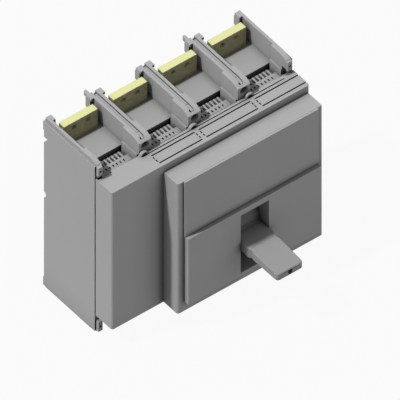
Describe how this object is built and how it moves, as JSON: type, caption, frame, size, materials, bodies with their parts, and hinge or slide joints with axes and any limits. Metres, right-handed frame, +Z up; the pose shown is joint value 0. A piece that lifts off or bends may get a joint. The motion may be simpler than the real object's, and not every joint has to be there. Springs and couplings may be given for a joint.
{
  "type": "molded case circuit breaker",
  "caption": "Four-pole molded case circuit breaker with drilled terminal bars in open bays, vented front case, raised cover and a lever handle that drives the contacts.",
  "frame": {"origin": "middle of the rear mounting plane, halfway across the width and at mid-height of the case", "axes": "+X to the right seen from the front, +Y out of the back towards the mounting plate, +Z up"},
  "size_m": [0.28, 0.2279, 0.268],
  "materials": {
    "case_moulding": "satin",
    "front_panel": "satin",
    "handle_moulding": "satin",
    "dark_moulding": "matte",
    "insulating_moulding": "matte",
    "terminal_brass": "satin",
    "arm_brass": "satin",
    "contact_silver": "satin",
    "mechanism_steel": "zinc plated",
    "pin_steel": "polished",
    "spring_steel": "polished",
    "screw_steel": "zinc plated",
    "chute_steel": "plain",
    "braid_copper": "woven"
  },
  "bodies": {
    "case": {"base": "case_moulding", "front_case": "case_moulding", "raised_cover": "case_moulding", "upper_panel": "front_panel", "lower_panel": "front_panel", "fixed_contacts": "contact_silver", "arc_chute_cheeks": "insulating_moulding", "trip_unit": "dark_moulding", "shaft_bearings": "insulating_moulding", "side_plate_left": "mechanism_steel", "side_plate_right": "mechanism_steel", "handle_pivot_pins": "pin_steel", "cradle_pivot_pin": "pin_steel", "case_screws": "screw_steel", "vent_comb_1": "case_moulding", "line_terminal_1": "terminal_brass", "load_terminal_1": "terminal_brass", "arc_plates_1": "chute_steel", "current_sensor_1": "dark_moulding", "braid_1": "braid_copper", "vent_comb_2": "case_moulding", "line_terminal_2": "terminal_brass", "load_terminal_2": "terminal_brass", "arc_plates_2": "chute_steel", "current_sensor_2": "dark_moulding", "braid_2": "braid_copper", "vent_comb_3": "case_moulding", "line_terminal_3": "terminal_brass", "load_terminal_3": "terminal_brass", "arc_plates_3": "chute_steel", "current_sensor_3": "dark_moulding", "braid_3": "braid_copper", "vent_comb_4": "case_moulding", "line_terminal_4": "terminal_brass", "load_terminal_4": "terminal_brass", "arc_plates_4": "chute_steel", "current_sensor_4": "dark_moulding", "braid_4": "braid_copper"},
    "handle": {"handle": "handle_moulding", "handle_yoke": "mechanism_steel", "main_springs": "spring_steel"},
    "contact_shaft": {"contact_shaft": "insulating_moulding", "contact_arm_1": "arm_brass", "contact_arm_2": "arm_brass", "contact_arm_3": "arm_brass", "contact_arm_4": "arm_brass", "crank_pins": "pin_steel"},
    "lower_links": {"lower_links": "mechanism_steel", "toggle_pin": "pin_steel"},
    "cradle": {"cradle": "mechanism_steel", "cradle_pins": "pin_steel"},
    "upper_links": {"upper_links": "mechanism_steel"},
    "trip_bar": {"trip_bar": "dark_moulding"}
  },
  "joints": [
    {"name": "handle_swing", "type": "hinge", "parent": "case", "child": "handle", "pos_m": [0.037, -0.09, -0.0385], "axis": [1, 0, 0], "range_deg": [-22, 22], "deforming": ["main_springs"]},
    {"name": "contact_swing", "type": "hinge", "parent": "case", "child": "contact_shaft", "pos_m": [0.037, -0.06, -0.008], "axis": [1, 0, 0], "range_deg": [-22, 22], "deforming": ["braid_1", "braid_2", "braid_3", "braid_4"]},
    {"name": "lower_link_swing", "type": "hinge", "parent": "contact_shaft", "child": "lower_links", "pos_m": [0.037, -0.05384, 0.00891], "axis": [1, 0, 0], "range_deg": [-30, 30]},
    {"name": "cradle_swing", "type": "hinge", "parent": "case", "child": "cradle", "pos_m": [0.037, -0.086, -0.024], "axis": [1, 0, 0], "range_deg": [0, 12]},
    {"name": "upper_link_swing", "type": "hinge", "parent": "cradle", "child": "upper_links", "pos_m": [0.037, -0.104, -0.002], "axis": [1, 0, 0], "range_deg": [-17, 17]},
    {"name": "trip_bar_swing", "type": "hinge", "parent": "case", "child": "trip_bar", "pos_m": [0.037, -0.108, -0.066], "axis": [1, 0, 0], "range_deg": [0, 6], "stiffness_Nm_per_rad": 0.06, "springref_deg": -11.46}
  ],
  "couplings": [
    {"joint": "contact_swing", "follows": "handle_swing", "ratio": 1},
    {"joint": "lower_link_swing", "follows": "handle_swing", "ratio": -1.314},
    {"joint": "upper_link_swing", "follows": "handle_swing", "ratio": 0.752}
  ]
}
